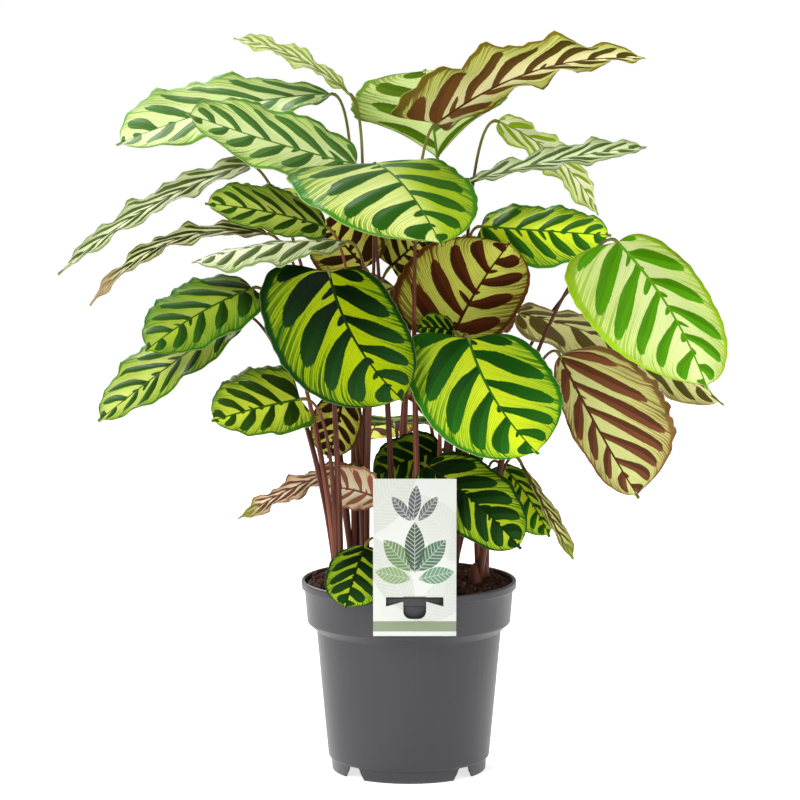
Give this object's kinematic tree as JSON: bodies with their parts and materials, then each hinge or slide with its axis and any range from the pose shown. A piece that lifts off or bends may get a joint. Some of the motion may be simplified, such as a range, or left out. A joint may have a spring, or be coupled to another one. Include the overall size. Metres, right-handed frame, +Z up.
{
  "type": "potted peacock plant",
  "caption": "Broad-leaved foliage plant with feathered dark-on-lime leaf markings on thin maroon stalks, in a round grey nursery pot with a card hung on the rim.",
  "frame": {"origin": "middle of the pot's flat base, on the surface that it stands on", "axes": "+Z up, -Y towards the viewer and the card, +X to the viewer's right"},
  "size_m": [0.5231, 0.3516, 0.5823],
  "materials": {
    "pot": "satin moulded plastic, warm dark grey",
    "soil": "loose damp potting mix of peat and bark",
    "card": "smooth coated card, pale, with a green band along its foot",
    "leaf": "thin satin leaf, lime with dark green ovals above, yellow-green and maroon below",
    "stalk": "smooth maroon-brown stalk, olive at its top"
  },
  "bodies": {
    "root": {"pot": "pot", "soil": "soil", "card": "card", "stalks_1": "stalk", "stalks_2": "stalk", "stalks_3": "stalk", "stalks_4": "stalk", "stalks_5": "stalk", "stalks_6": "stalk", "stalks_7": "stalk", "stalks_8": "stalk", "stalks_9": "stalk", "stalks_10": "stalk", "leaf_front_left": "leaf", "leaf_front_right": "leaf", "leaf_centre_under": "leaf", "leaf_top_centre": "leaf", "leaf_upper_left": "leaf", "leaf_far_left": "leaf", "leaf_top_curl": "leaf", "leaf_back_top": "leaf", "leaf_top_right": "leaf", "leaf_right_edge": "leaf", "leaf_right_back": "leaf", "leaf_right_mid": "leaf", "leaf_right_pale": "leaf", "leaf_right_under": "leaf", "leaf_right_long": "leaf", "leaf_left_far": "leaf", "leaf_left_far2": "leaf", "leaf_left_dark": "leaf", "leaf_left_flat": "leaf", "leaf_left_green": "leaf", "leaf_left_low": "leaf", "leaf_left_lower": "leaf", "leaf_low_left": "leaf", "leaf_low_under": "leaf", "leaf_pot_front": "leaf", "leaf_low_right": "leaf", "leaf_low_right_back": "leaf", "leaf_low_right_edge": "leaf", "leaf_mid_under_left": "leaf", "leaf_mid_under_right": "leaf", "leaf_mid_dark": "leaf", "leaf_low_mid_left": "leaf", "leaf_low_mid_right": "leaf", "leaf_back_left_high": "leaf", "leaf_back_mid_left": "leaf", "leaf_back_centre": "leaf", "leaf_back_mid_right": "leaf", "leaf_back_right": "leaf", "leaf_back_low": "leaf", "leaf_back_low_left": "leaf", "leaf_back_far_left": "leaf", "leaf_back_far_right": "leaf", "leaf_back_far_mid": "leaf", "leaf_back_low_pot": "leaf"}
  },
  "joints": []
}
